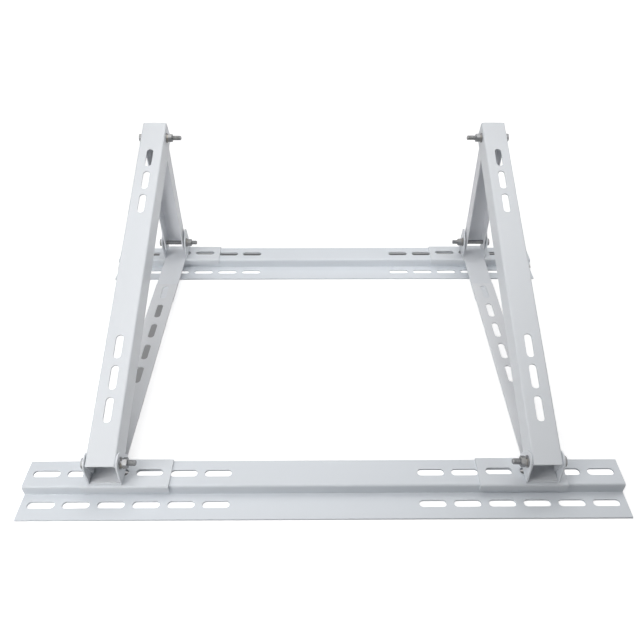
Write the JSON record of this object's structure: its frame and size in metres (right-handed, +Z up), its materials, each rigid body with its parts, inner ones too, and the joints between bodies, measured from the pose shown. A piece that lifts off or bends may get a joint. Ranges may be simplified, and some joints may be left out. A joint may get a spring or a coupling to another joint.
{
  "type": "air conditioner roof stand",
  "caption": "Folded steel roof stand: slotted rails with saddles and feet carry bolted triangles whose sloping slotted arms hold an outdoor unit.",
  "frame": {"origin": "on the ground plane, below the middle of the stand's width and depth", "axes": "+X along the rails, to the viewer's right; +Y from the low front rail to the rear rail; +Z up"},
  "size_m": [0.8, 0.6076, 0.2828],
  "materials": {
    "grey_paint": "satin pale grey powder coat",
    "zinc_plate": "dull zinc plate",
    "spring_steel": "dark spring steel"
  },
  "bodies": {
    "root": {"front_rail": "grey_paint", "rear_rail": "grey_paint", "front_left_saddle": "grey_paint", "front_right_saddle": "grey_paint", "rear_left_saddle": "grey_paint", "rear_right_saddle": "grey_paint", "front_left_foot": "grey_paint", "front_right_foot": "grey_paint", "rear_left_foot": "grey_paint", "rear_right_foot": "grey_paint", "left_base_strip": "grey_paint", "right_base_strip": "grey_paint", "left_arm": "grey_paint", "right_arm": "grey_paint", "left_strut": "grey_paint", "right_strut": "grey_paint", "front_left_bolt": "zinc_plate", "front_right_bolt": "zinc_plate", "rear_left_bolt": "zinc_plate", "rear_right_bolt": "zinc_plate", "top_left_bolt": "zinc_plate", "top_right_bolt": "zinc_plate", "front_left_washer": "zinc_plate", "front_right_washer": "zinc_plate", "rear_left_washer": "zinc_plate", "rear_right_washer": "zinc_plate", "top_left_washer": "zinc_plate", "top_right_washer": "zinc_plate", "front_left_nut": "zinc_plate", "front_right_nut": "zinc_plate", "rear_left_nut": "zinc_plate", "rear_right_nut": "zinc_plate", "top_left_nut": "zinc_plate", "top_right_nut": "zinc_plate", "front_left_spring_washer": "spring_steel", "front_right_spring_washer": "spring_steel", "rear_left_spring_washer": "spring_steel", "rear_right_spring_washer": "spring_steel", "top_left_spring_washer": "spring_steel", "top_right_spring_washer": "spring_steel"}
  },
  "joints": []
}
